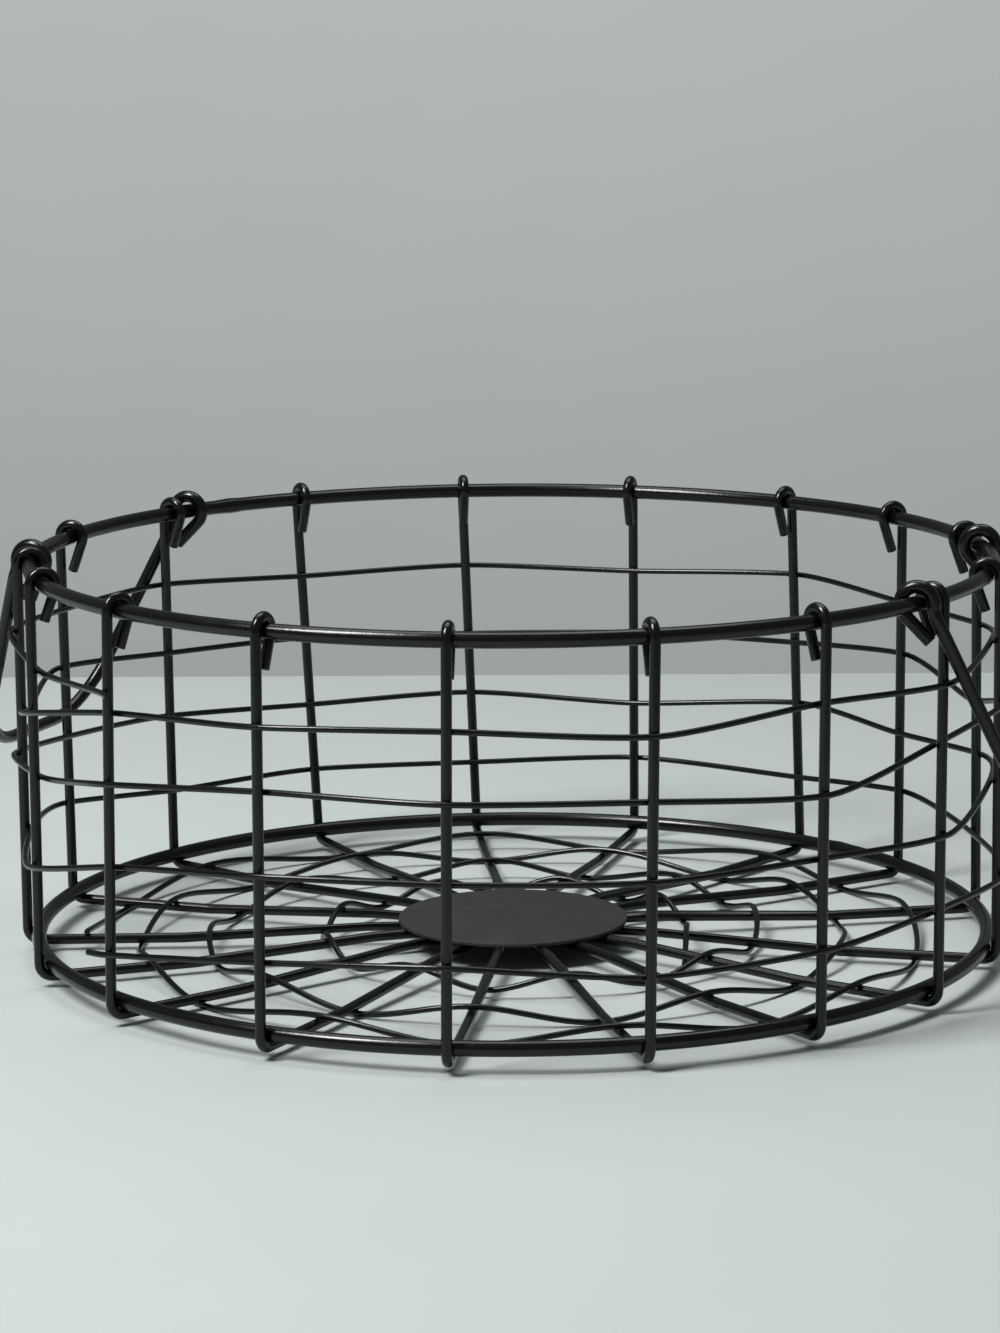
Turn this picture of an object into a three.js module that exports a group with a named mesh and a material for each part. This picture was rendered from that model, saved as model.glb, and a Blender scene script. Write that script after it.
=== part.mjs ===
// Round wire storage basket with two swinging bail handles.
//
// Two heavy wire rings, at the rim and at the base, are joined by seventeen bent ribs. Each rib
// hooks over the rim, runs down the wall, turns under the base ring and runs in as a spoke to a
// flat disc in the middle of the floor. One thin wire is woven four times round the wall, outside
// one rib and inside the next, and another is woven over and under the spokes in a spiral. The
// number of ribs is odd, so each turn passes a rib on the other side from the turn before. The
// handles hang outside on open eyes bent round the rim.
//
// Millimetres, +Z up. The origin is on the table under the middle of the basket, which stands on
// the weave where it passes under the spokes, and the handles hang near +X and -X. Wires that
// touch in the real basket are kept a few tenths apart.

import * as THREE from 'three';

// Driving dimensions.
const RIM_RADIUS = 200;
const BASKET_HEIGHT = 174.1;
const RING_WIRE = 6;
const RIB_WIRE = 4;
const WEAVE_WIRE = 2.2;
const HANDLE_WIRE = 5;
const DISC_DIAMETER = 97;
const DISC_THICKNESS = 1.5;
const CLEARANCE = 0.3;

// Each rib's angle round the basket at its head and at its foot, and how far the side weave
// strays from level where each turn passes it. The maker set the ribs by eye.
const RIBS = [
  { name: 'rib_01', head: -16.4, foot: -16.6, strays: [1, 7, 3, 2] },
  { name: 'rib_02', head: 2.6, foot: 4.6, strays: [6, 12, 10, 2] },
  { name: 'rib_03', head: 31.6, foot: 30, strays: [-5, -5, 1, 0] },
  { name: 'rib_04', head: 50.5, foot: 50.5, strays: [-4, 2, -1, 2] },
  { name: 'rib_05', head: 69.7, foot: 68, strays: [-1, 0, 2, 0] },
  { name: 'rib_06', head: 92.2, foot: 92, strays: [-4, -3, -4, 0] },
  { name: 'rib_07', head: 114.6, foot: 113, strays: [-3, -3, -1, -2] },
  { name: 'rib_08', head: 137, foot: 134.5, strays: [-3, -2, -1, -2] },
  { name: 'rib_09', head: 157.7, foot: 157.1, strays: [0, 1, 2, 0] },
  { name: 'rib_10', head: 180.2, foot: 179, strays: [2, 6, 8, 8] },
  { name: 'rib_11', head: 202.2, foot: 200.2, strays: [5, 3, 15, 15] },
  { name: 'rib_12', head: 217.9, foot: 217.9, strays: [-2, 13, 17, 12] },
  { name: 'rib_13', head: 238.7, foot: 237.8, strays: [-7, -3, -6, -9] },
  { name: 'rib_14', head: 260.4, foot: 260.2, strays: [-2, 3, 3, -1] },
  { name: 'rib_15', head: 281.5, foot: 281.2, strays: [-1, 4, 3, 4] },
  { name: 'rib_16', head: 303.3, foot: 302.8, strays: [-3, 2, 4, -3] },
  { name: 'rib_17', head: 323.7, foot: 323.4, strays: [2, -1, 4, 1] },
];

// Wire sections. The flats of a section are as far apart as the wire is thick, so a flat that
// faces a neighbour, or the table, lies where the round wire's surface is.
const RING_SIDES = 12;
const WIRE_SIDES = 8;
const RING_SEGMENTS = 72;
const ARC_STEP = 22.5;
const DISC_SEGMENTS = 48;

// How far a weave wire's middle lies from the middle of the rib or spoke that it passes, and half
// the length over which it lies level there.
const WEAVE_OFFSET = RIB_WIRE / 2 + CLEARANCE + WEAVE_WIRE / 2 / Math.cos(Math.PI / WIRE_SIDES);
const WEAVE_SEAT = 5;

// Ribs: the bend round a ring, the heights of both rings, and the shape of the spoke.
const SEAT_SLACK = 0.5;
const BEND_RADIUS = RING_WIRE / 2 + RIB_WIRE / 2 + SEAT_SLACK;
const SPOKE_HEIGHT = WEAVE_WIRE / 2 + WEAVE_OFFSET;
const BASE_HEIGHT = SPOKE_HEIGHT + BEND_RADIUS;
const RIM_HEIGHT = BASKET_HEIGHT - BEND_RADIUS - RIB_WIRE / 2;
const HOOK_TAIL = 14;
const HOOK_WRAP = 200;
const SPOKE_FLAT_RADIUS = RIM_RADIUS - 60;
const SPOKE_RAISED_RADIUS = DISC_DIAMETER / 2 + 13.5;
const SPOKE_END_GAP = 2.7;
const DISH_HEIGHT = 4;

// Side weave: the rib where it starts and ends, its turns, how far they hang below even spacing,
// and how far its start stands above the first turn.
const SIDE_FIRST_RIB = 'rib_13';
const SIDE_TURNS = 4;
const SIDE_DROP = 2.1;
const SIDE_START_RISE = 2;

// Base weave: its first and last rib, its full turns, and how far out it lies at each half turn,
// from 0 at the disc's edge to 1 at the base ring. Its loose end starts further out.
const SPIRAL_FIRST_RIB = 'rib_01';
const SPIRAL_LAST_RIB = 'rib_11';
const SPIRAL_TURNS = 3;
const SPIRAL_REACH = [0.175, 0.175, 0.333, 0.509, 0.594, 0.7, 0.802, 0.868, 0.868];
const SPIRAL_END_REACH = 0.25;

// Handles: the half angle between a handle's eyes, its eye, its depth and how far it leans out.
const HANDLE_ANGLES = { handle_right: 2.7, handle_left: 177.3 };
const EYE_HALF_ANGLE = 22.4;
const EYE_RADIUS = 6.9;
const EYE_WRAP = 225;
const EYE_TAIL = 14.5;
const ARM_ROOT_LENGTH = 8;
const ARM_ROOT_DRAW_IN = 1;
const HANDLE_DEPTH = 92;
const HANDLE_CORNER_RADIUS = 40;
const HANDLE_TAPER = 17;
const HANDLE_LEAN = 22;
const CORNER_STEPS = 6;

const radians = THREE.MathUtils.degToRad;
const degrees = THREE.MathUtils.radToDeg;

const blackWire = new THREE.MeshStandardMaterial({ color: 0x1b1d1e, roughness: 0.45, metalness: 0.3 });
const greyDisc = new THREE.MeshStandardMaterial({ color: 0x3d3f40, roughness: 0.7, metalness: 0.2 });

// A path through given stations, which an extrusion visits one by one.
class StationPath extends THREE.Curve {
  constructor(stations) {
    super();
    this.stations = stations;
  }
  getUtoTmapping(u) {
    return u;
  }
  getPoint(t) {
    const place = t * (this.stations.length - 1);
    const before = Math.min(Math.floor(place), this.stations.length - 2);
    return this.stations[before].clone().lerp(this.stations[before + 1], place - before);
  }
  getTangent(t) {
    const last = this.stations.length - 1;
    const here = Math.round(t * last);
    const arriving = this.stations[here].clone().sub(this.stations[Math.max(here - 1, 0)]).normalize();
    const leaving = this.stations[Math.min(here + 1, last)].clone().sub(this.stations[here]).normalize();
    return arriving.add(leaving).normalize();
  }
}

// A regular outline whose flats are `thickness` apart and face along both axes.
function flatSidedOutline(thickness, sides) {
  const cornerRadius = thickness / 2 / Math.cos(Math.PI / sides);
  const corners = [];
  for (let side = 0; side < sides; side += 1) {
    const angle = ((side + 0.5) * 2 * Math.PI) / sides;
    corners.push(new THREE.Vector2(cornerRadius * Math.cos(angle), cornerRadius * Math.sin(angle)));
  }
  return corners;
}

function wireGeometry(stations, thickness, sides) {
  return new THREE.ExtrudeGeometry(new THREE.Shape(flatSidedOutline(thickness, sides)), {
    extrudePath: new StationPath(stations),
    steps: stations.length - 1,
    bevelEnabled: false,
  });
}

function ringGeometry(ringRadius, thickness) {
  const profile = flatSidedOutline(thickness, RING_SIDES);
  profile.forEach((corner) => corner.setX(corner.x + ringRadius));
  profile.push(profile[0].clone());
  return new THREE.LatheGeometry(profile, RING_SEGMENTS).rotateX(Math.PI / 2);
}

// Points on an arc in the XZ plane, from one angle to another in even steps.
function arcStations(centre, radius, fromAngle, toAngle) {
  const count = Math.max(1, Math.round(Math.abs(toAngle - fromAngle) / ARC_STEP));
  const stations = [];
  for (let index = 0; index <= count; index += 1) {
    const angle = radians(fromAngle + ((toAngle - fromAngle) * index) / count);
    const offset = new THREE.Vector3(Math.cos(angle), 0, Math.sin(angle)).multiplyScalar(radius);
    stations.push(centre.clone().add(offset));
  }
  return stations;
}

function polar(radius, angle, height) {
  return new THREE.Vector3(radius * Math.cos(radians(angle)), radius * Math.sin(radians(angle)), height);
}

// The height of a spoke's centre line: flat near the base ring, dished up towards the disc.
function spokeHeight(radius) {
  const rise = THREE.MathUtils.clamp(
    (SPOKE_FLAT_RADIUS - radius) / (SPOKE_FLAT_RADIUS - SPOKE_RAISED_RADIUS), 0, 1);
  return SPOKE_HEIGHT + DISH_HEIGHT * rise;
}

// The radius at which the spokes end under the disc, where the two closest just clear each other.
function spokeEndRadius() {
  const gaps = RIBS.map((rib, index) => (RIBS[(index + 1) % RIBS.length].foot - rib.foot + 360) % 360);
  const room = RIB_WIRE / Math.cos(Math.PI / WIRE_SIDES) + SPOKE_END_GAP;
  return room / (2 * Math.sin(radians(Math.min(...gaps)) / 2));
}

// One rib, with its head in the XZ plane: tail, hook over the rim, wall, bend under the base
// ring, spoke. The foot stands `footTurn` degrees round the basket from the head.
function ribGeometry(footTurn) {
  const rimCentre = new THREE.Vector3(RIM_RADIUS, 0, RIM_HEIGHT);
  const baseCentre = new THREE.Vector3(RIM_RADIUS, 0, BASE_HEIGHT);
  const hook = arcStations(rimCentre, BEND_RADIUS, HOOK_WRAP, 0);
  const lean = radians(HOOK_WRAP - 180);
  const tailEnd = hook[0].clone().add(
    new THREE.Vector3(Math.sin(lean), 0, -Math.cos(lean)).multiplyScalar(HOOK_TAIL));
  const spoke = [SPOKE_FLAT_RADIUS, SPOKE_RAISED_RADIUS, spokeEndRadius()].map(
    (radius) => new THREE.Vector3(radius, 0, spokeHeight(radius)));
  const foot = [...arcStations(baseCentre, BEND_RADIUS, 0, -90), ...spoke];
  foot.forEach((station) => station.applyAxisAngle(new THREE.Vector3(0, 0, 1), radians(footTurn)));
  return wireGeometry([tailEnd, ...hook, ...foot], RIB_WIRE, WIRE_SIDES);
}

function ribIndex(name) {
  return RIBS.findIndex((rib) => rib.name === name);
}

// The angle of a rib's wall at a height.
function wallAngle(rib, height) {
  return THREE.MathUtils.mapLinear(height, BASE_HEIGHT, RIM_HEIGHT, rib.foot, rib.head);
}

// The thin wire woven round the wall, outside one rib and inside the next. It winds the way of
// falling angles, holds nearly level and steps down a turn on the left.
function sideWeaveGeometry() {
  const turnSpacing = (RIM_HEIGHT - BASE_HEIGHT) / (SIDE_TURNS + 1);
  const firstRib = ribIndex(SIDE_FIRST_RIB);
  const stations = [];
  for (let crossing = 0; crossing <= SIDE_TURNS * RIBS.length; crossing += 1) {
    const rib = RIBS[(firstRib - crossing + SIDE_TURNS * RIBS.length) % RIBS.length];
    const turn = Math.max(0, Math.ceil(crossing / RIBS.length) - 1);
    const stray = crossing === 0 ? SIDE_START_RISE : rib.strays[turn];
    const level = RIM_HEIGHT - (turn + 1) * turnSpacing - SIDE_DROP + stray;
    const side = crossing % 2 === 0 ? 1 : -1;
    const radius = RIM_RADIUS + BEND_RADIUS + side * WEAVE_OFFSET;
    const seat = degrees(WEAVE_SEAT / radius);
    stations.push(polar(radius, wallAngle(rib, level) + seat, level));
    stations.push(polar(radius, wallAngle(rib, level) - seat, level));
  }
  return wireGeometry(stations, WEAVE_WIRE, WIRE_SIDES);
}

// The thin wire woven through the floor, under one spoke and over the next, in a spiral outwards.
function baseWeaveGeometry() {
  const firstRib = ribIndex(SPIRAL_FIRST_RIB);
  const lastCrossing = SPIRAL_TURNS * RIBS.length + ribIndex(SPIRAL_LAST_RIB) - firstRib;
  const discRadius = DISC_DIAMETER / 2;
  const stations = [];
  for (let crossing = 0; crossing <= lastCrossing; crossing += 1) {
    const place = firstRib + crossing;
    const rib = RIBS[place % RIBS.length];
    const travelled = rib.foot - RIBS[firstRib].foot + 360 * Math.floor(place / RIBS.length);
    const half = Math.min(Math.floor(travelled / 180), SPIRAL_REACH.length - 2);
    const reach = THREE.MathUtils.mapLinear(
      travelled, 180 * half, 180 * (half + 1), SPIRAL_REACH[half], SPIRAL_REACH[half + 1]);
    const share = crossing === 0 ? SPIRAL_END_REACH : reach;
    const radius = discRadius + share * (RIM_RADIUS - discRadius);
    const side = crossing % 2 === 0 ? -1 : 1;
    const seat = degrees(WEAVE_SEAT / radius);
    const height = spokeHeight(radius) + side * WEAVE_OFFSET;
    stations.push(polar(radius, rib.foot - seat, height));
    stations.push(polar(radius, rib.foot + seat, height));
  }
  return wireGeometry(stations, WEAVE_WIRE, WIRE_SIDES);
}

function discGeometry() {
  const edge = DISC_THICKNESS / 4;
  const radius = DISC_DIAMETER / 2;
  const profile = [
    new THREE.Vector2(0, 0),
    new THREE.Vector2(radius - edge, 0),
    new THREE.Vector2(radius, edge),
    new THREE.Vector2(radius, DISC_THICKNESS - edge),
    new THREE.Vector2(radius - edge, DISC_THICKNESS),
    new THREE.Vector2(0, DISC_THICKNESS),
  ];
  return new THREE.LatheGeometry(profile, DISC_SEGMENTS).rotateX(Math.PI / 2);
}

// A handle about the line through its eyes: +X is outward, Y runs from eye to eye, and the
// origin is at the rim wire's height. One half is made from its tail to the middle of the grip.
function handleGeometry() {
  const halfSpan = RIM_RADIUS * Math.sin(radians(EYE_HALF_ANGLE));
  const lean = radians(HANDLE_LEAN);
  const taper = radians(HANDLE_TAPER);
  const eyeCentre = new THREE.Vector3(0, halfSpan, 0);
  const eye = arcStations(eyeCentre, EYE_RADIUS, EYE_WRAP, -HANDLE_LEAN);
  const tailTurn = radians(EYE_WRAP - 180);
  const tailEnd = eye[0].clone().add(
    new THREE.Vector3(Math.sin(tailTurn), 0, -Math.cos(tailTurn)).multiplyScalar(EYE_TAIL));

  const start = eye[eye.length - 1];
  const inPlane = (width, depth) => new THREE.Vector3(
    start.x + depth * Math.sin(lean), width, start.z - depth * Math.cos(lean));
  const cornerWidth = halfSpan - HANDLE_DEPTH * Math.tan(taper);
  const turn = Math.PI / 2 - taper;
  const tangentLength = HANDLE_CORNER_RADIUS * Math.tan(turn / 2);
  const gripHalf = cornerWidth - tangentLength;
  const cornerCentreDepth = HANDLE_DEPTH - HANDLE_CORNER_RADIUS;
  const corner = [];
  for (let index = 0; index <= CORNER_STEPS; index += 1) {
    const angle = taper + (turn * index) / CORNER_STEPS;
    corner.push(inPlane(
      gripHalf + HANDLE_CORNER_RADIUS * Math.cos(angle),
      cornerCentreDepth + HANDLE_CORNER_RADIUS * Math.sin(angle)));
  }
  const armRoot = inPlane(halfSpan - ARM_ROOT_DRAW_IN, ARM_ROOT_LENGTH);
  const half = [tailEnd, ...eye, armRoot, ...corner];
  const otherHalf = half.map((point) => new THREE.Vector3(point.x, -point.y, point.z)).reverse();
  return wireGeometry([...half, ...otherHalf], HANDLE_WIRE, WIRE_SIDES);
}

function namedMesh(name, geometry, material) {
  const mesh = new THREE.Mesh(geometry, material);
  mesh.name = name;
  return mesh;
}

const group = new THREE.Group();

const rimRing = namedMesh('rim_ring', ringGeometry(RIM_RADIUS, RING_WIRE), blackWire);
rimRing.position.z = RIM_HEIGHT;
group.add(rimRing);

const baseRing = namedMesh('base_ring', ringGeometry(RIM_RADIUS, RING_WIRE), blackWire);
baseRing.position.z = BASE_HEIGHT;
group.add(baseRing);

for (const rib of RIBS) {
  const mesh = namedMesh(rib.name, ribGeometry(rib.foot - rib.head), blackWire);
  mesh.rotation.z = radians(rib.head);
  group.add(mesh);
}

group.add(namedMesh('side_weave', sideWeaveGeometry(), blackWire));
group.add(namedMesh('base_weave', baseWeaveGeometry(), blackWire));

const disc = namedMesh('centre_disc', discGeometry(), greyDisc);
disc.position.z = spokeHeight(SPOKE_RAISED_RADIUS) + RIB_WIRE / 2 + CLEARANCE;
group.add(disc);

for (const [name, angle] of Object.entries(HANDLE_ANGLES)) {
  const handle = namedMesh(name, handleGeometry(), blackWire);
  handle.position.copy(polar(RIM_RADIUS * Math.cos(radians(EYE_HALF_ANGLE)), angle, RIM_HEIGHT));
  handle.rotation.z = radians(angle);
  group.add(handle);
}

export default group;
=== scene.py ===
import math

import bpy
from mathutils import Matrix, Vector


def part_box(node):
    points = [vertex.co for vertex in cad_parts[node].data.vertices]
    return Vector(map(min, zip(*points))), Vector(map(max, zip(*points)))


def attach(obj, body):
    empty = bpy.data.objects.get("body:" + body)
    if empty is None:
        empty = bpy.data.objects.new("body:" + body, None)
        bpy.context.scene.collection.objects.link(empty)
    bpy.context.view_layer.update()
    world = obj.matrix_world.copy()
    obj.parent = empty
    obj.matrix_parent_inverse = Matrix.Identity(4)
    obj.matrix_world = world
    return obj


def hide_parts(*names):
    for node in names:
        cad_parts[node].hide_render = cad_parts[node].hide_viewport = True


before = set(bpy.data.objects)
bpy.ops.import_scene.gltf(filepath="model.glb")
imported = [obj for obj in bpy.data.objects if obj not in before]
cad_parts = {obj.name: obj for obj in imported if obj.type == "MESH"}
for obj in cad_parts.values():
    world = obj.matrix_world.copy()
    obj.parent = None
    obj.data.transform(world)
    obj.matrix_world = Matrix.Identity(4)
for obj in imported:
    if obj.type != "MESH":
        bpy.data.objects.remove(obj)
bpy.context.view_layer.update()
bpy.ops.object.select_all(action="DESELECT")


# Camera. The photograph looks down on the basket from a little above its rim, from 18 degrees
# to the right of the part's front, so the two handles hang at the sides of the picture.

CAMERA_AZIMUTH = 18.25
CAMERA_DISTANCE = 1.712
CAMERA_HEIGHT = 0.4347
CAMERA_PITCH = 10.417
CAMERA_YAW = 0.164
CAMERA_ROLL = -0.315
LENS = 111.97
SENSOR = 36

facing = Matrix.Rotation(math.radians(CAMERA_AZIMUTH), 4, "Z")
placed = Matrix.Translation((0, -CAMERA_DISTANCE, CAMERA_HEIGHT))
turned = (
    Matrix.Rotation(math.radians(CAMERA_YAW), 4, "Z")
    @ Matrix.Rotation(math.radians(90 - CAMERA_PITCH), 4, "X")
    @ Matrix.Rotation(math.radians(CAMERA_ROLL), 4, "Z")
)
bpy.ops.object.camera_add()
camera = bpy.context.object
camera.matrix_world = facing @ placed @ turned
camera.data.sensor_width = SENSOR
camera.data.lens = LENS
camera.data.clip_end = 50
bpy.context.scene.camera = camera


# Table top. It is a pale matt laminate and ends a little way behind the basket. The laminate is
# hardly uneven: its colour drifts by a few parts in a hundred over a hand's breadth.

TABLE_LENGTH = 2.6
TABLE_WIDTH = 4
TABLE_BEHIND = 0.625
TABLE_COLOUR = "#A9B1AF"
TABLE_PALE_COLOUR = "#AEB6B4"
TABLE_DRIFT = 0.12
TABLE_ROUGHNESS = 0.7

# The sockets of a Mix node that mixes colours: its two colours, and its result.
FIRST_COLOUR, SECOND_COLOUR, MIXED_COLOUR = 6, 7, 2


def linear(hex_colour):
    """An sRGB hex colour as linear RGBA."""
    channels = [int(hex_colour[place:place + 2], 16) / 255 for place in (1, 3, 5)]
    return [c / 12.92 if c <= 0.04045 else ((c + 0.055) / 1.055) ** 2.4 for c in channels] + [1]


def add_node(tree, kind, inputs=(), **settings):
    """One shader node: its settings, and its inputs as values or as other nodes' outputs."""
    node = tree.nodes.new(kind)
    for setting, value in settings.items():
        setattr(node, setting, value)
    for socket, value in dict(inputs).items():
        if isinstance(value, bpy.types.NodeSocket):
            tree.links.new(value, node.inputs[socket])
        else:
            node.inputs[socket].default_value = value
    return node


def new_material(name):
    """An empty material of that name, and its node tree."""
    material = bpy.data.materials.new(name)
    material.use_nodes = True
    material.node_tree.nodes.clear()
    return material, material.node_tree


laminate, tree = new_material("matt laminate table top")
where = add_node(tree, "ShaderNodeTexCoord")
drift = add_node(tree, "ShaderNodeTexNoise",
                 {"Vector": where.outputs["Object"], "Scale": 1 / TABLE_DRIFT, "Detail": 3})
colour = add_node(tree, "ShaderNodeMix",
                  {"Factor": drift.outputs["Fac"], FIRST_COLOUR: linear(TABLE_COLOUR),
                   SECOND_COLOUR: linear(TABLE_PALE_COLOUR)}, data_type="RGBA")
shader = add_node(tree, "ShaderNodeBsdfPrincipled",
                  {"Base Color": colour.outputs[MIXED_COLOUR], "Roughness": TABLE_ROUGHNESS})
add_node(tree, "ShaderNodeOutputMaterial", {"Surface": shader.outputs["BSDF"]})

bpy.ops.mesh.primitive_plane_add(size=1)
table_top = bpy.context.object
table_top.name = "table_top"
table_top.matrix_world = (
    facing
    @ Matrix.Translation((0, TABLE_BEHIND - TABLE_LENGTH / 2, 0))
    @ Matrix.Diagonal((TABLE_WIDTH, TABLE_LENGTH, 1, 1))
)
bpy.ops.object.transform_apply(location=True, rotation=True, scale=True)
table_top.data.materials.append(laminate)
table_top.select_set(False)


# Wall and room. Past the table's edge the camera sees a painted grey-green wall, far off and out
# of focus. Its paler top and darker right side are painted light and shade, as the room's light
# falls on the wall; its faint mottles are the wall's own. The room itself gives a faint pale
# light from all sides. Both are the world, so that the wall shades nothing.

WALL_LOW_COLOUR = "#9BA29F"
WALL_HIGH_COLOUR = "#B3BAB7"
# The paler top (WALL_PALING) and the darker right side (WALL_DIMMING, WALL_RIGHT_LEVEL) are
# painted light and shade.
WALL_PALING = (-0.18, -0.02)
WALL_DIMMING = (0.02, 0.12)
WALL_RIGHT_LEVEL = 0.955
WALL_MOTTLES = 0.03
WALL_MOTTLE_LEVELS = (0.98, 1.02)
ROOM_COLOUR = "#D6DCDC"
ROOM_STRENGTH = 0.2

world = bpy.data.worlds.new("studio")
bpy.context.scene.world = world
world.use_nodes = True
tree = world.node_tree
tree.nodes.clear()
where = add_node(tree, "ShaderNodeTexCoord")
height = add_node(tree, "ShaderNodeSeparateXYZ", {"Vector": where.outputs["Generated"]})
# Painted light: the wall is drawn paler higher up.
paling = add_node(tree, "ShaderNodeMapRange",
                  {"Value": height.outputs["Z"],
                   "From Min": WALL_PALING[0], "From Max": WALL_PALING[1]})
wall = add_node(tree, "ShaderNodeMix",
                {"Factor": paling.outputs["Result"], FIRST_COLOUR: linear(WALL_LOW_COLOUR),
                 SECOND_COLOUR: linear(WALL_HIGH_COLOUR)}, data_type="RGBA")
along_the_wall = add_node(tree, "ShaderNodeMapping",
                          {"Vector": where.outputs["Generated"],
                           "Rotation": (0, 0, -math.radians(CAMERA_AZIMUTH))})
across = add_node(tree, "ShaderNodeSeparateXYZ", {"Vector": along_the_wall.outputs["Vector"]})
# Painted shade: the wall is drawn darker towards the right.
dimming = add_node(tree, "ShaderNodeMapRange",
                   {"Value": across.outputs["X"],
                    "From Min": WALL_DIMMING[0], "From Max": WALL_DIMMING[1],
                    "To Min": 1, "To Max": WALL_RIGHT_LEVEL})
mottling = add_node(tree, "ShaderNodeTexNoise",
                    {"Vector": where.outputs["Generated"], "Scale": 1 / WALL_MOTTLES,
                     "Detail": 4})
mottles = add_node(tree, "ShaderNodeMapRange",
                   {"Value": mottling.outputs["Fac"],
                    "To Min": WALL_MOTTLE_LEVELS[0], "To Max": WALL_MOTTLE_LEVELS[1]})
level = add_node(tree, "ShaderNodeMath",
                 {0: dimming.outputs["Result"], 1: mottles.outputs["Result"]},
                 operation="MULTIPLY")
seen = add_node(tree, "ShaderNodeBackground",
                {"Color": wall.outputs[MIXED_COLOUR], "Strength": level.outputs["Value"]})
lit = add_node(tree, "ShaderNodeBackground",
               {"Color": linear(ROOM_COLOUR), "Strength": ROOM_STRENGTH})
ray = add_node(tree, "ShaderNodeLightPath")
both = add_node(tree, "ShaderNodeMixShader",
                {0: ray.outputs["Is Camera Ray"], 1: lit.outputs["Background"],
                 2: seen.outputs["Background"]})
add_node(tree, "ShaderNodeOutputWorld", {"Surface": both.outputs["Shader"]})


# Studio light. The main softbox stands high to the left of the camera: it draws the highlights
# along the front left of the rings and throws the faint shadows to the right and back. A larger
# and weaker one overhead fills the tops of the wires.

MAIN_SIDE = -55
MAIN_ELEVATION = 55
MAIN_DISTANCE = 2.2
MAIN_SIZE = (0.5, 0.9)
MAIN_POWER = 58
FILL_ELEVATION = 75
FILL_DISTANCE = 2.2
FILL_SIZE = (1.8, 1.2)
FILL_POWER = 20


def softbox(name, side, elevation, distance, size, power):
    """A rectangular softbox that faces the basket, `side` degrees to the camera's right."""
    bpy.ops.object.light_add(type="AREA")
    light = bpy.context.object
    light.name = name
    light.data.shape = "RECTANGLE"
    light.data.size, light.data.size_y = size
    light.data.energy = power
    light.matrix_world = (
        Matrix.Rotation(math.radians(CAMERA_AZIMUTH + side), 4, "Z")
        @ Matrix.Rotation(math.radians(90 - elevation), 4, "X")
        @ Matrix.Translation((0, 0, distance))
    )
    light.select_set(False)


softbox("main_softbox", MAIN_SIDE, MAIN_ELEVATION, MAIN_DISTANCE, MAIN_SIZE, MAIN_POWER)
softbox("fill_softbox", 180, FILL_ELEVATION, FILL_DISTANCE, FILL_SIZE, FILL_POWER)
bpy.context.scene.view_settings.view_transform = "Standard"


# Rim ring and base ring. Two lengths of 6 mm steel wire are rolled into equal rings and butt
# welded, which leaves a low swelling at the joint. The whole basket is then powder coated, and
# each wire below is drawn with its coat, inside the outer sizes of the CAD model.

COAT = 0.00015
RING_WIRE = 0.006 + 2 * COAT
RING_STEPS = 180
RING_SIDES = 24
BUTT_WELDS = {"rim_ring": 148, "base_ring": 60}
BUTT_WELD_HALF_ANGLE = 1.2
BUTT_WELD_SWELL = 0.00035
MERGE_DISTANCE = 0.00001
SHARP_EDGE = 40

COAT_COLOUR = "#050607"
COAT_WORN_COLOUR = "#0A0B0C"
COAT_ROUGHNESS = (0.17, 0.26)
COAT_IOR = 1.42
HANDLING_MARKS = 0.02
MARKS_SPAN = (0.3, 0.7)
ORANGE_PEEL = 0.0016
ORANGE_PEEL_DEPTH = 0.00004

# Satin black powder coat on steel wire: polyester powder, sprayed and baked. It is near black
# with a broad soft highlight and a fine orange peel, drawn here at 1.6 mm so that it shows.
powder_coat, tree = new_material("satin black powder coat")
where = add_node(tree, "ShaderNodeTexCoord")
marks = add_node(tree, "ShaderNodeTexNoise",
                 {"Vector": where.outputs["Object"], "Scale": 1 / HANDLING_MARKS, "Detail": 3})
peel = add_node(tree, "ShaderNodeTexNoise",
                {"Vector": where.outputs["Object"], "Scale": 1 / ORANGE_PEEL, "Detail": 1})
colour = add_node(tree, "ShaderNodeMix",
                  {"Factor": marks.outputs["Fac"], FIRST_COLOUR: linear(COAT_COLOUR),
                   SECOND_COLOUR: linear(COAT_WORN_COLOUR)}, data_type="RGBA")
gloss = add_node(tree, "ShaderNodeMapRange",
                 {"Value": marks.outputs["Fac"],
                  "From Min": MARKS_SPAN[0], "From Max": MARKS_SPAN[1],
                  "To Min": COAT_ROUGHNESS[0], "To Max": COAT_ROUGHNESS[1]})
skin = add_node(tree, "ShaderNodeBump",
                {"Height": peel.outputs["Fac"], "Strength": 1, "Distance": ORANGE_PEEL_DEPTH})
shader = add_node(tree, "ShaderNodeBsdfPrincipled",
                  {"Base Color": colour.outputs[MIXED_COLOUR],
                   "Roughness": gloss.outputs["Result"],
                   "Normal": skin.outputs["Normal"], "IOR": COAT_IOR})
add_node(tree, "ShaderNodeOutputMaterial", {"Surface": shader.outputs["BSDF"]})

rim_low, rim_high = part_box("rim_ring")
base_low, base_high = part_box("base_ring")
ring_radius = rim_high.x - RING_WIRE / 2 + COAT
rim_height = (rim_low.z + rim_high.z) / 2
base_height = (base_low.z + base_high.z) / 2


def select_points(piece, wanted):
    """Leaves the piece in edit mode, with those points selected that pass the test."""
    bpy.ops.object.mode_set(mode="EDIT")
    bpy.ops.mesh.select_mode(type="VERT")
    bpy.ops.mesh.select_all(action="DESELECT")
    bpy.ops.object.mode_set(mode="OBJECT")
    for point in piece.data.vertices:
        point.select = wanted(point.co)
    bpy.ops.object.mode_set(mode="EDIT")


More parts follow.
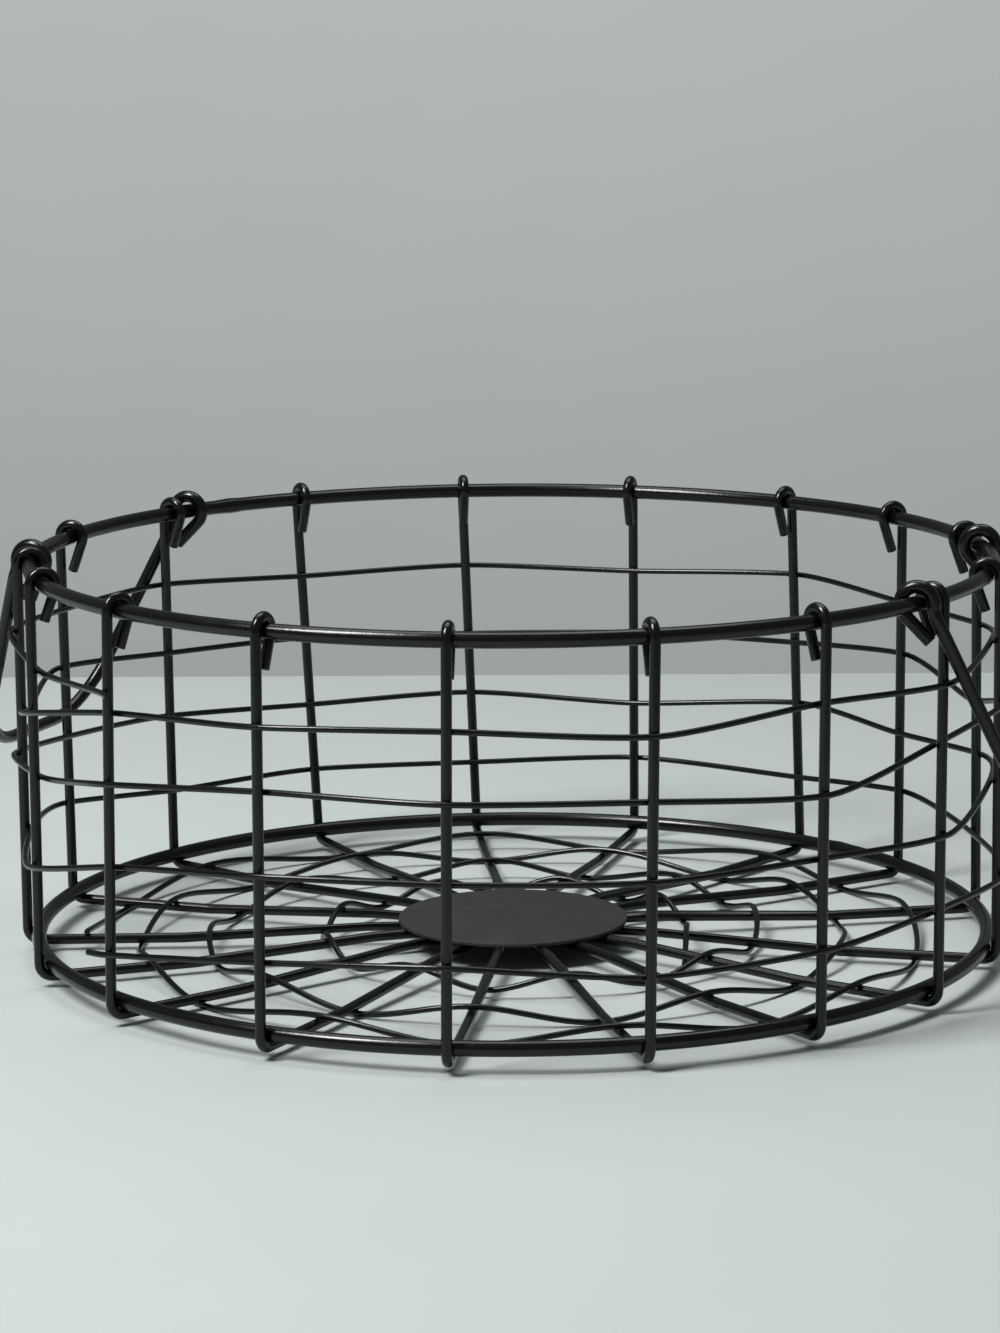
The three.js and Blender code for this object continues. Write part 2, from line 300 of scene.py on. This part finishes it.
def finish_piece(piece, body, coat, nodes):
    """Closes the shape, lays its place into its mesh, coats it and gives it to its body."""
    bpy.ops.object.mode_set(mode="EDIT")
    bpy.ops.mesh.select_all(action="SELECT")
    bpy.ops.mesh.remove_doubles(threshold=MERGE_DISTANCE)
    bpy.ops.mesh.normals_make_consistent(inside=False)
    bpy.ops.object.mode_set(mode="OBJECT")
    bpy.ops.object.transform_apply(location=True, rotation=True, scale=True)
    bpy.ops.object.shade_smooth_by_angle(angle=math.radians(SHARP_EDGE))
    piece.data.materials.clear()
    piece.data.materials.append(coat)
    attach(piece, body)
    if nodes:
        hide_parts(*nodes)
    piece.select_set(False)


for node, height in (("rim_ring", rim_height), ("base_ring", base_height)):
    bpy.ops.mesh.primitive_torus_add(
        major_segments=RING_STEPS, minor_segments=RING_SIDES,
        major_radius=ring_radius, minor_radius=RING_WIRE / 2, location=(0, 0, height))
    ring = bpy.context.object
    ring.name = node + "_wire"
    weld = Matrix.Rotation(math.radians(BUTT_WELDS[node]), 2) @ Vector((1, 0))
    near = math.cos(math.radians(BUTT_WELD_HALF_ANGLE))
    select_points(ring, lambda place: place.to_2d().normalized().dot(weld) > near)
    bpy.ops.transform.shrink_fatten(value=BUTT_WELD_SWELL)
    finish_piece(ring, "basket", powder_coat, [node])


# Ribs. Seventeen lengths of 4 mm wire, each bent on one jig: a short tail, a hook over the rim
# ring, the straight wall, a bend under the base ring and a spoke that rises a little to the disc.
# They are set by eye, so no two gaps are the same, and some stand a degree or two off plumb.

RIB_WIRE = 0.004 + 2 * COAT
RIB_SIDES = 20
BEND_RADIUS = 0.0055 - COAT
HOOK_TAIL = 0.014
HOOK_WRAP = 200
HOOK_STEPS = 16
FOOT_STEPS = 8
SPOKE_FLAT_RADIUS = 0.140
SPOKE_RAISED_RADIUS = 0.062
SPOKE_END_RADIUS = 0.0231
SPOKE_RISE = 0.004
FOOT_MARGIN = 0.0001
CUT_END_ROUNDING = 0.0004
RIB_ANGLES = {
    "rib_01": (-16.4, -16.6),
    "rib_02": (2.6, 4.6),
    "rib_03": (31.6, 30),
    "rib_04": (50.5, 50.5),
    "rib_05": (69.7, 68),
    "rib_06": (92.2, 92),
    "rib_07": (114.6, 113),
    "rib_08": (137, 134.5),
    "rib_09": (157.7, 157.1),
    "rib_10": (180.2, 179),
    "rib_11": (202.2, 200.2),
    "rib_12": (217.9, 217.9),
    "rib_13": (238.7, 237.8),
    "rib_14": (260.4, 260.2),
    "rib_15": (281.5, 281.2),
    "rib_16": (303.3, 302.8),
    "rib_17": (323.7, 323.4),
}
RIB_NAMES = list(RIB_ANGLES)

spoke_height = base_height - BEND_RADIUS


def start_wire(name, thickness, sides, place, rotation):
    """The cut end of a wire as an open circle, in edit mode and ready to extrude."""
    bpy.ops.mesh.primitive_circle_add(
        vertices=sides, radius=thickness / 2, location=place, rotation=rotation)
    wire = bpy.context.object
    wire.name = name
    bpy.ops.object.mode_set(mode="EDIT")
    bpy.ops.mesh.select_all(action="SELECT")
    return wire


def draw_out(way):
    """Runs the wire straight on by one vector."""
    bpy.ops.mesh.extrude_region_move(TRANSFORM_OT_translate={"value": way})


def close_ends():
    """Fills a wire's two cut ends and rounds their edges."""
    bpy.ops.mesh.select_all(action="SELECT")
    bpy.ops.mesh.fill_holes(sides=0)
    bpy.ops.mesh.select_all(action="DESELECT")
    bpy.ops.object.mode_set(mode="OBJECT")
    for face in bpy.context.object.data.polygons:
        face.select = len(face.vertices) > 4
    bpy.ops.object.mode_set(mode="EDIT")
    bpy.ops.mesh.select_mode(type="FACE")
    bpy.ops.mesh.bevel(offset=CUT_END_ROUNDING, segments=2)
    bpy.ops.mesh.select_mode(type="VERT")


hook_turn = math.radians(HOOK_WRAP)
tail_way = Vector((-math.sin(hook_turn - math.pi), 0, math.cos(hook_turn - math.pi))) * HOOK_TAIL
hook_start = Vector((ring_radius + BEND_RADIUS * math.cos(hook_turn), 0,
                     rim_height + BEND_RADIUS * math.sin(hook_turn)))
first_rib = start_wire("rib_pattern", RIB_WIRE, RIB_SIDES, hook_start - tail_way,
                       (0, math.pi - hook_turn, 0))
draw_out(tail_way)
bpy.ops.mesh.spin(steps=HOOK_STEPS, angle=-hook_turn, center=(ring_radius, 0, rim_height),
                  axis=(0, 1, 0))
draw_out((0, 0, base_height - rim_height))
bpy.ops.mesh.spin(steps=FOOT_STEPS, angle=-math.pi / 2, center=(ring_radius, 0, base_height),
                  axis=(0, 1, 0))
draw_out((SPOKE_FLAT_RADIUS - ring_radius, 0, 0))
draw_out((SPOKE_RAISED_RADIUS - SPOKE_FLAT_RADIUS, 0, SPOKE_RISE))
draw_out((SPOKE_END_RADIUS - SPOKE_RAISED_RADIUS, 0, 0))
close_ends()
bpy.ops.object.mode_set(mode="OBJECT")
bpy.ops.object.transform_apply(location=True, rotation=True, scale=True)


def copy_wire(pattern, name):
    """A copy of a wire with its own mesh, and nothing else selected."""
    wire = pattern.copy()
    wire.data = pattern.data.copy()
    wire.name = name
    bpy.context.scene.collection.objects.link(wire)
    bpy.ops.object.select_all(action="DESELECT")
    bpy.context.view_layer.objects.active = wire
    wire.select_set(True)
    return wire


for node, (head, foot) in RIB_ANGLES.items():
    rib = copy_wire(first_rib, node + "_wire")
    foot_turn = Matrix.Rotation(math.radians(foot - head), 3, "Z")
    for point in rib.data.vertices:
        if point.co.z < base_height + FOOT_MARGIN:
            point.co = foot_turn @ point.co
    rib.rotation_euler.z = math.radians(head)
    finish_piece(rib, "basket", powder_coat, [node])
bpy.data.objects.remove(first_rib)


# Side weave. One length of 2.2 mm wire, woven four times round the wall, outside one rib and
# inside the next, and spot welded where it crosses. It was pulled through by hand, so its turns
# wander a few millimetres up and down.

WEAVE_WIRE = 0.0022 + 2 * COAT
WEAVE_STEPS = 10
WEAVE_ROUNDING = 4
WEAVE_GAP = 0.00009
SIDE_WEAVE_END = 0.008
SIDE_WEAVE_EASE = 0.22
SIDE_FIRST_RIB = "rib_13"
SIDE_TURNS = 4
SIDE_DROP = 0.0021
SIDE_START_RISE = 0.002
SIDE_STRAYS = {
    "rib_01": (1, 7, 3, 2),
    "rib_02": (6, 12, 10, 2),
    "rib_03": (-5, -5, 1, 0),
    "rib_04": (-4, 2, -1, 2),
    "rib_05": (-1, 0, 2, 0),
    "rib_06": (-4, -3, -4, 0),
    "rib_07": (-3, -3, -1, -2),
    "rib_08": (-3, -2, -1, -2),
    "rib_09": (0, 1, 2, 0),
    "rib_10": (2, 6, 8, 8),
    "rib_11": (5, 3, 15, 15),
    "rib_12": (-2, 13, 17, 12),
    "rib_13": (-7, -3, -6, -9),
    "rib_14": (-2, 3, 3, -1),
    "rib_15": (-1, 4, 3, 4),
    "rib_16": (-3, 2, 4, -3),
    "rib_17": (2, -1, 4, 1),
}

weave_offset = RIB_WIRE / 2 + WEAVE_WIRE / 2 + WEAVE_GAP


def polar(radius, angle, height):
    """A point by its radius, its angle in degrees and its height."""
    return Vector((radius * math.cos(math.radians(angle)),
                   radius * math.sin(math.radians(angle)), height))


def woven_wire(name, crossings, end, ease):
    """A thin wire through its crossings with a free end at both, the rounder the more ease."""
    first = crossings[0] + (crossings[0] - crossings[1]).normalized() * end
    last = crossings[-1] + (crossings[-1] - crossings[-2]).normalized() * end
    first.z, last.z = crossings[0].z, crossings[-1].z
    bpy.ops.curve.primitive_bezier_curve_add()
    wire = bpy.context.object
    wire.name = name
    bends = wire.data.splines[0].bezier_points
    bends.add(len(crossings))
    places = [first, *crossings, last]
    for index, (bend, place) in enumerate(zip(bends, places)):
        before, after = places[max(index - 1, 0)], places[min(index + 1, len(places) - 1)]
        along = (after - before).normalized()
        bend.handle_left_type = bend.handle_right_type = "FREE"
        bend.co = place
        bend.handle_left = place - along * (place - before).length * ease
        bend.handle_right = place + along * (after - place).length * ease
    wire.data.resolution_u = WEAVE_STEPS
    wire.data.bevel_depth = WEAVE_WIRE / 2
    wire.data.bevel_resolution = WEAVE_ROUNDING
    wire.data.use_fill_caps = True
    bpy.ops.object.convert(target="MESH")
    return bpy.context.object


def wall_angle(rib, height):
    """The angle at which a rib's wall stands at a height."""
    head, foot = RIB_ANGLES[rib]
    return foot + (head - foot) * (height - base_height) / (rim_height - base_height)


side_crossings = []
side_welds = []
turn_spacing = (rim_height - base_height) / (SIDE_TURNS + 1)
for crossing in range(SIDE_TURNS * len(RIB_NAMES) + 1):
    rib = RIB_NAMES[(RIB_NAMES.index(SIDE_FIRST_RIB) - crossing) % len(RIB_NAMES)]
    turn = max(0, math.ceil(crossing / len(RIB_NAMES)) - 1)
    stray = SIDE_START_RISE if crossing == 0 else SIDE_STRAYS[rib][turn] / 1000
    level = rim_height - (turn + 1) * turn_spacing - SIDE_DROP + stray
    side = 1 if crossing % 2 == 0 else -1
    angle = wall_angle(rib, level)
    side_crossings.append(polar(ring_radius + BEND_RADIUS + side * weave_offset, angle, level))
    side_welds.append((polar(ring_radius + BEND_RADIUS + side * RIB_WIRE / 2, angle, level),
                       polar(side, angle, 0)))
side_weave = woven_wire("side_weave_wire", side_crossings, SIDE_WEAVE_END, SIDE_WEAVE_EASE)
finish_piece(side_weave, "basket", powder_coat, ["side_weave"])


# Base weave. The same thin wire, woven under one spoke and over the next in a spiral from the
# disc out towards the base ring, and spot welded at every spoke. The basket stands on it.

SPIRAL_FIRST_RIB = "rib_01"
SPIRAL_LAST_RIB = "rib_11"
SPIRAL_TURNS = 3
SPIRAL_REACH = (0.175, 0.175, 0.333, 0.509, 0.594, 0.7, 0.802, 0.868, 0.868)
SPIRAL_END_REACH = 0.25
BASE_WEAVE_END = 0.002
BASE_WEAVE_EASE = 0.33

disc_low, disc_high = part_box("centre_disc")
disc_radius = disc_high.x


def spoke_level(radius):
    """The height of a spoke's middle: level near the base ring, dished up towards the disc."""
    rise = (SPOKE_FLAT_RADIUS - radius) / (SPOKE_FLAT_RADIUS - SPOKE_RAISED_RADIUS)
    return spoke_height + SPOKE_RISE * min(max(rise, 0), 1)


base_crossings = []
base_welds = []
last_place = SPIRAL_TURNS * len(RIB_NAMES) + RIB_NAMES.index(SPIRAL_LAST_RIB)
first_foot = RIB_ANGLES[SPIRAL_FIRST_RIB][1]
for crossing, place in enumerate(range(RIB_NAMES.index(SPIRAL_FIRST_RIB), last_place + 1)):
    foot = RIB_ANGLES[RIB_NAMES[place % len(RIB_NAMES)]][1]
    travelled = foot - first_foot + 360 * (place // len(RIB_NAMES))
    half = min(int(travelled // 180), len(SPIRAL_REACH) - 2)
    share = travelled / 180 - half
    reach = SPIRAL_REACH[half] * (1 - share) + SPIRAL_REACH[half + 1] * share
    if crossing == 0:
        reach = SPIRAL_END_REACH
    radius = disc_radius + reach * (ring_radius - disc_radius)
    side = -1 if crossing % 2 == 0 else 1
    base_crossings.append(polar(radius, foot, spoke_level(radius) + side * weave_offset))
    base_welds.append((polar(radius, foot, spoke_level(radius) + side * RIB_WIRE / 2),
                       Vector((0, 0, side))))
base_weave = woven_wire("base_weave_wire", base_crossings, BASE_WEAVE_END, BASE_WEAVE_EASE)
finish_piece(base_weave, "basket", powder_coat, ["base_weave"])


# Spot welds. Each crossing of a thin wire with a rib or spoke was squeezed and welded in one
# stroke, which leaves a short waisted neck of metal in the corner between the two wires.

WELD_WIDTH = 0.002
WELD_REACH = 0.0006
WELD_WAIST = 0.8
WELD_SIDES = 8

first_weld = start_wire("weld_pattern", WELD_WIDTH, WELD_SIDES, (0, 0, -WELD_REACH), (0, 0, 0))
for narrowing in (WELD_WAIST, 1 / WELD_WAIST):
    draw_out((0, 0, WELD_REACH))
    bpy.ops.transform.resize(value=(narrowing, narrowing, 1))
bpy.ops.mesh.select_all(action="SELECT")
bpy.ops.mesh.fill_holes(sides=0)
bpy.ops.object.mode_set(mode="OBJECT")
bpy.ops.object.transform_apply(location=True, rotation=True, scale=True)

for name, places in (("side_spot_welds", side_welds), ("base_spot_welds", base_welds)):
    welds = []
    for place, way in places:
        weld = copy_wire(first_weld, "spot_weld")
        towards_rib = way.to_track_quat("Z", "Y").to_matrix().to_4x4()
        weld.matrix_world = Matrix.Translation(place) @ towards_rib
        welds.append(weld)
    for weld in welds:
        weld.select_set(True)
    bpy.ops.object.join()
    joined = bpy.context.object
    joined.name = name
    finish_piece(joined, "basket", powder_coat, [])
bpy.data.objects.remove(first_weld)


# Centre disc. A round blank of 1.5 mm sheet steel, punched out, so that its upper edge is drawn
# over a little and the lower one is sharp. It is welded to the inner ends of the spokes.

DISC_STEPS = 96
DISC_EDGE_ROUNDING = 0.0006
DISC_COLOUR = "#141313"
DISC_SCUFF_COLOUR = "#2B2929"
DISC_ROUGHNESS = 0.7
DISC_SCUFFS = 0.012
DISC_GRAIN = 0.0007
DISC_GRAIN_DEPTH = 0.00005

# Matte dark grey powder coat on sheet steel: a finely textured coat with hardly any highlight,
# a little paler in broad patches where it has been rubbed.
disc_coat, tree = new_material("matte dark grey powder coat")
where = add_node(tree, "ShaderNodeTexCoord")
scuffs = add_node(tree, "ShaderNodeTexNoise",
                  {"Vector": where.outputs["Object"], "Scale": 1 / DISC_SCUFFS, "Detail": 4})
grain = add_node(tree, "ShaderNodeTexNoise",
                 {"Vector": where.outputs["Object"], "Scale": 1 / DISC_GRAIN, "Detail": 2})
colour = add_node(tree, "ShaderNodeMix",
                  {"Factor": scuffs.outputs["Fac"], FIRST_COLOUR: linear(DISC_COLOUR),
                   SECOND_COLOUR: linear(DISC_SCUFF_COLOUR)}, data_type="RGBA")
skin = add_node(tree, "ShaderNodeBump",
                {"Height": grain.outputs["Fac"], "Strength": 1, "Distance": DISC_GRAIN_DEPTH})
shader = add_node(tree, "ShaderNodeBsdfPrincipled",
                  {"Base Color": colour.outputs[MIXED_COLOUR], "Roughness": DISC_ROUGHNESS,
                   "Normal": skin.outputs["Normal"], "IOR": COAT_IOR})
add_node(tree, "ShaderNodeOutputMaterial", {"Surface": shader.outputs["BSDF"]})

bpy.ops.mesh.primitive_cylinder_add(
    vertices=DISC_STEPS, radius=disc_radius, depth=disc_high.z - disc_low.z,
    location=(0, 0, (disc_low.z + disc_high.z) / 2))
disc = bpy.context.object
disc.name = "centre_disc_plate"
select_points(disc, lambda place: place.z > 0)
bpy.ops.mesh.bevel(offset=DISC_EDGE_ROUNDING, segments=3)
finish_piece(disc, "basket", disc_coat, ["centre_disc"])


# Handles. Each is one length of 5 mm wire: an eye bent open round the rim ring at either end,
# with its tail inside, a shoulder where the arm sets off outwards, and a bail with two rounded
# corners. Offset and depth are measured from the eye's centre to the wire's middle.

HANDLE_WIRE = 0.005 + 2 * COAT
HANDLE_SIDES = 24
HANDLE_ANGLES = {"handle_right": 2.7, "handle_left": 177.3}
EYE_HALF_ANGLE = 22.4
EYE_RADIUS = 0.0069 - COAT
EYE_WRAP = 225
EYE_TAIL = 0.0145
EYE_STEPS = 20
SHOULDER_RADIUS = 0.008
SHOULDER_STEPS = 4
ARM_OFFSET = 0.00496
HANDLE_LEAN = 22
HANDLE_TAPER = 18.1
ROOT_RADIUS = 0.012
ROOT_STEPS = 3
HANDLE_DEPTH = 0.0968
CORNER_RADIUS = 0.040
CORNER_STEPS = 10
GRIP_MERGE_DISTANCE = 0.00005

half_span = ring_radius * math.sin(math.radians(EYE_HALF_ANGLE))
eye_distance = ring_radius * math.cos(math.radians(EYE_HALF_ANGLE))
wrap = math.radians(EYE_WRAP)
lean = math.radians(HANDLE_LEAN)
taper = math.radians(HANDLE_TAPER)
down = Vector((math.sin(lean), 0, -math.cos(lean)))
face = Vector((math.cos(lean), 0, math.sin(lean)))
tail_way = Vector((-math.sin(wrap - math.pi), 0, math.cos(wrap - math.pi))) * EYE_TAIL
eye_start = Vector((EYE_RADIUS * math.cos(wrap), half_span, EYE_RADIUS * math.sin(wrap)))
shoulder_offset = ARM_OFFSET + SHOULDER_RADIUS
shoulder_drop = math.sqrt((EYE_RADIUS + SHOULDER_RADIUS) ** 2 - shoulder_offset ** 2)
shoulder_turn = math.atan2(shoulder_drop, shoulder_offset)
shoulder_centre = face * shoulder_offset + down * shoulder_drop + Vector((0, half_span, 0))
arm_start = shoulder_centre - face * SHOULDER_RADIUS

first_handle = start_wire("handle_pattern", HANDLE_WIRE, HANDLE_SIDES, eye_start - tail_way,
                          (0, math.pi - wrap, 0))
draw_out(tail_way)
bpy.ops.mesh.spin(steps=EYE_STEPS, angle=lean - wrap - shoulder_turn,
                  center=(0, half_span, 0), axis=(0, 1, 0))
bpy.ops.mesh.spin(steps=SHOULDER_STEPS, angle=shoulder_turn, center=shoulder_centre,
                  axis=(0, 1, 0))
root_centre = arm_start - Vector((0, ROOT_RADIUS, 0))
bpy.ops.mesh.spin(steps=ROOT_STEPS, angle=-taper, center=root_centre, axis=-face)
corner_depth = HANDLE_DEPTH - CORNER_RADIUS + CORNER_RADIUS * math.sin(taper)
arm_length = (corner_depth - shoulder_drop - ROOT_RADIUS * math.sin(taper)) / math.cos(taper)
arm_way = (down * math.cos(taper) - Vector((0, math.sin(taper), 0))) * arm_length
draw_out(arm_way)
arm_side = Vector((0, math.cos(taper), 0)) + down * math.sin(taper)
corner_centre = root_centre + arm_side * ROOT_RADIUS + arm_way - arm_side * CORNER_RADIUS
bpy.ops.mesh.spin(steps=CORNER_STEPS, angle=taper - math.pi / 2, center=corner_centre,
                  axis=-face)
draw_out((0, -corner_centre.y, 0))
bpy.ops.object.mode_set(mode="OBJECT")
bpy.ops.object.transform_apply(location=True, rotation=True, scale=True)
mirror = first_handle.modifiers.new("other half", "MIRROR")
mirror.use_axis = (False, True, False)
mirror.use_clip = True
mirror.merge_threshold = GRIP_MERGE_DISTANCE
bpy.ops.object.modifier_apply(modifier=mirror.name)
bpy.ops.object.mode_set(mode="EDIT")
close_ends()
bpy.ops.object.mode_set(mode="OBJECT")

for node, angle in HANDLE_ANGLES.items():
    handle = copy_wire(first_handle, node + "_wire")
    handle.location = polar(eye_distance, angle, rim_height)
    handle.rotation_euler.z = math.radians(angle)
    finish_piece(handle, node, powder_coat, [node])
bpy.data.objects.remove(first_handle)
